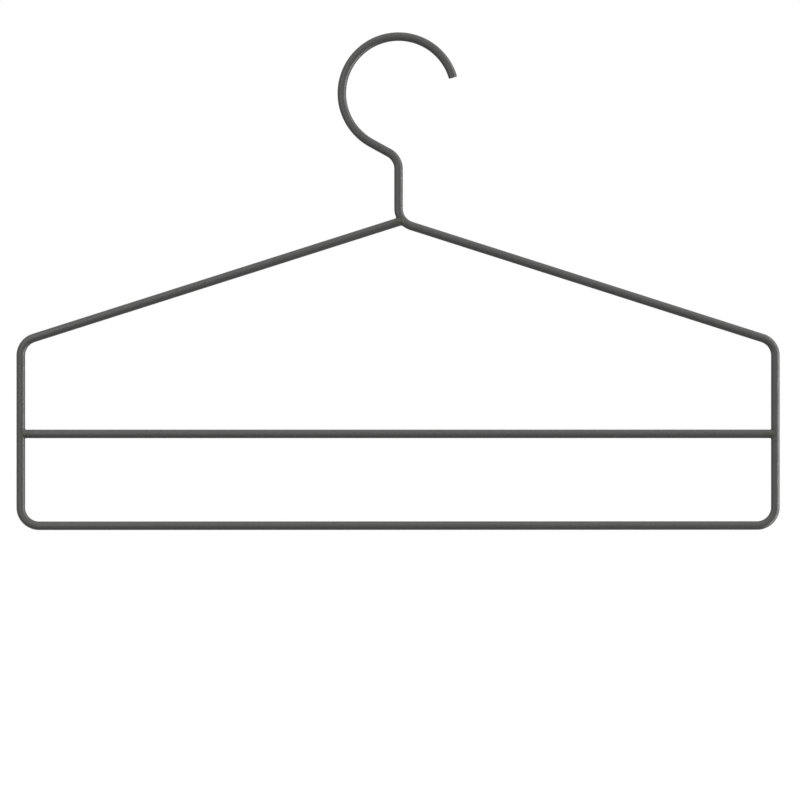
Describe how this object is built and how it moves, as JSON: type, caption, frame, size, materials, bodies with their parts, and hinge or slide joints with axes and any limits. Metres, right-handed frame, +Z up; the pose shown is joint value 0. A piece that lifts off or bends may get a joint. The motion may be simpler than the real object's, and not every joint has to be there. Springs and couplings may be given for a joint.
{
  "type": "coat hanger",
  "caption": "Flat steel wire coat hanger with a round open hook, sloping shoulders, square lower corners and a straight cross bar for trousers, powder coated dark grey.",
  "frame": {"origin": "the hook's seat: the highest point of the hook's inside, in the middle of the hanger", "axes": "+X along the cross bar to the side where the hook is open, +Y through the hanger from front to back, +Z up, so the wire all lies in the plane y = 0"},
  "size_m": [0.44, 0.0066, 0.2869],
  "materials": {
    "powder_coat": "satin, finely textured",
    "powder_coat_over_weld": "satin, finely textured"
  },
  "bodies": {
    "root": {"frame_wire": "powder_coat", "cross_bar": "powder_coat", "neck_weld": "powder_coat_over_weld", "left_bar_weld": "powder_coat_over_weld", "right_bar_weld": "powder_coat_over_weld"}
  },
  "joints": []
}
